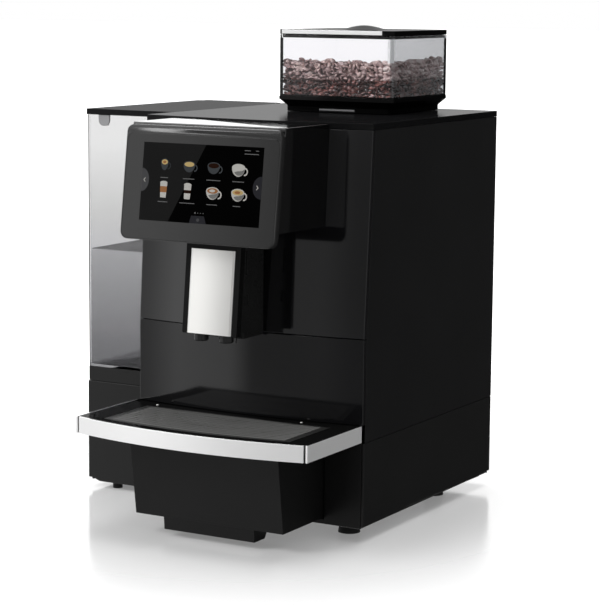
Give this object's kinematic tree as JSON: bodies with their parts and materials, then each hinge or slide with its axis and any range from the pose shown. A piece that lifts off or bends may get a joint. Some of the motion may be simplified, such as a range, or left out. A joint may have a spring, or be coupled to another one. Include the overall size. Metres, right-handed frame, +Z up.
{
  "type": "bean to cup coffee machine",
  "caption": "Bean to cup coffee machine with a touch screen, a height adjustable spout, a clear bean hopper on top, a drip tray drawer in front and a clear water tank at its left side.",
  "frame": {"origin": "on the floor under the middle of the machine's outline", "axes": "+Z up, the front with the screen and spout faces -Y, the water tank is on the -X side"},
  "size_m": [0.4272, 0.4875, 0.5774],
  "materials": {
    "gloss_black": "high gloss",
    "satin_black": "satin paint",
    "matte_black": "fine matte",
    "cover_black": "satin",
    "brushed_aluminium": "satin, brushed",
    "aluminium_cast": "as cast",
    "steel": "brushed",
    "chrome": "polished",
    "brass": "as machined",
    "rubber": "matte",
    "tank_clear": "clear, light smoke tint",
    "hopper_clear": "clear",
    "screen_black_glass": "black backed glass",
    "display": "display",
    "coffee_beans": "roasted beans",
    "grey_plastic": "fine matte",
    "circuit_green": "coated board"
  },
  "bodies": {
    "housing": {"base_pan": "matte_black", "bean_fill": "coffee_beans", "boiler": "aluminium_cast", "brew_chamber": "steel", "brew_frame": "grey_plastic", "column_pan": "matte_black", "column_skirt": "gloss_black", "control_board": "circuit_green", "display_panel": "display", "equipment_shelf": "steel", "foot_column_front": "rubber", "foot_column_rear": "rubber", "foot_front_left": "rubber", "foot_front_right": "rubber", "foot_rear_left": "rubber", "foot_rear_right": "rubber", "front_frame": "matte_black", "grinder_body": "aluminium_cast", "hopper_base": "gloss_black", "hopper_box": "hopper_clear", "left_side_panel": "satin_black", "lower_front_panel": "gloss_black", "power_inlet": "matte_black", "pump": "brass", "rear_panel": "satin_black", "right_side_panel": "satin_black", "right_skirt": "matte_black", "runner_left": "steel", "runner_right": "steel", "screen_bezel": "gloss_black", "screen_glass": "screen_black_glass", "screen_housing": "gloss_black", "spout_guide": "matte_black", "switch_frame": "matte_black", "tank_ledge": "gloss_black", "top_cover": "cover_black", "upper_front_panel": "gloss_black", "water_pipe": "grey_plastic"},
    "tray_drawer": {"tray_tub": "matte_black", "tray_deck": "gloss_black", "trim_front": "brushed_aluminium", "trim_left": "brushed_aluminium", "trim_right": "brushed_aluminium"},
    "grille": {"drip_grille": "matte_black"},
    "grounds": {"grounds_bin": "grey_plastic"},
    "spout": {"spout_carriage": "matte_black", "spout_bezel": "matte_black", "spout_plate": "steel", "nozzle_left": "matte_black", "nozzle_right": "matte_black", "hot_water_tip": "steel"},
    "tank": {"water_tank": "tank_clear", "tank_valve": "grey_plastic"},
    "tank_cover": {"tank_lid": "matte_black"},
    "hopper_top": {"hopper_lid": "gloss_black", "lid_trim": "chrome"},
    "shutter": {"hopper_shutter": "grey_plastic"},
    "burr": {"burr_cone": "steel"},
    "piston": {"brew_piston": "grey_plastic"},
    "rocker": {"power_rocker": "matte_black"}
  },
  "joints": [
    {"name": "tray_slide", "type": "slide", "parent": "housing", "child": "tray_drawer", "axis": [0, -1, 0], "range_m": [0, 0.2]},
    {"name": "grille_lift", "type": "slide", "parent": "tray_drawer", "child": "grille", "axis": [0, 0, 1], "range_m": [0, 0.03]},
    {"name": "bin_lift", "type": "slide", "parent": "tray_drawer", "child": "grounds", "axis": [0, 0, 1], "range_m": [0, 0.03]},
    {"name": "spout_slide", "type": "slide", "parent": "housing", "child": "spout", "axis": [0, 0, 1], "range_m": [-0.02, 0.05]},
    {"name": "tank_lift", "type": "slide", "parent": "housing", "child": "tank", "axis": [0, 0, 1], "range_m": [0, 0.12]},
    {"name": "tank_lid_hinge", "type": "hinge", "parent": "tank", "child": "tank_cover", "pos_m": [-0.15, 0.23995, 0.4701], "axis": [-1, 0, 0], "range_deg": [0, 75]},
    {"name": "hopper_lid_lift", "type": "slide", "parent": "housing", "child": "hopper_top", "axis": [0, 0, 1], "range_m": [0, 0.05]},
    {"name": "shutter_slide", "type": "slide", "parent": "housing", "child": "shutter", "axis": [0, -1, 0], "range_m": [0, 0.042]},
    {"name": "burr_spin", "type": "hinge", "parent": "housing", "child": "burr", "pos_m": [0.0792, 0.14415, 0.345], "axis": [0, 0, 1], "continuous": true},
    {"name": "piston_slide", "type": "slide", "parent": "housing", "child": "piston", "axis": [0, 0, -1], "range_m": [0, 0.04]},
    {"name": "rocker_tilt", "type": "hinge", "parent": "housing", "child": "rocker", "pos_m": [0.1536, 0.23806, 0.104], "axis": [1, 0, 0], "range_deg": [0, 14]}
  ]
}
